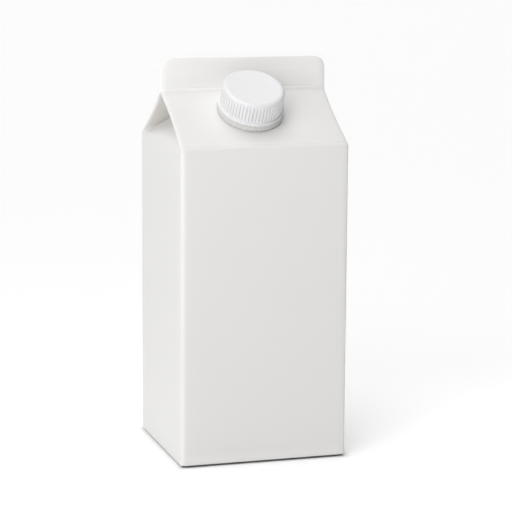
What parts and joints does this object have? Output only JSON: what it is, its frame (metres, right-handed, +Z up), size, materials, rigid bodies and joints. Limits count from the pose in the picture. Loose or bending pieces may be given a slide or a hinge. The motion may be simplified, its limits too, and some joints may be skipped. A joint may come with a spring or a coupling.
{
  "type": "gable-top cream carton",
  "caption": "Tall gable-top carton of plain white coated board, with a sealed fin along its roof and a ribbed round screw cap on the front slope, for pouring cream or milk.",
  "frame": {"origin": "middle of the flat base, on the surface that the carton stands on", "axes": "+Z up towards the fin, X along the fin, -Y out of the front panel that carries the cap"},
  "size_m": [0.095, 0.09, 0.2198],
  "materials": {
    "coated_board": "smooth white board with a thin satin plastic coat",
    "ring_plastic": "white moulded plastic, satin",
    "cap_plastic": "white moulded plastic, satin, very slightly cool"
  },
  "bodies": {
    "root": {"carton": "coated_board", "tamper_ring": "ring_plastic", "screw_cap": "cap_plastic"}
  },
  "joints": []
}
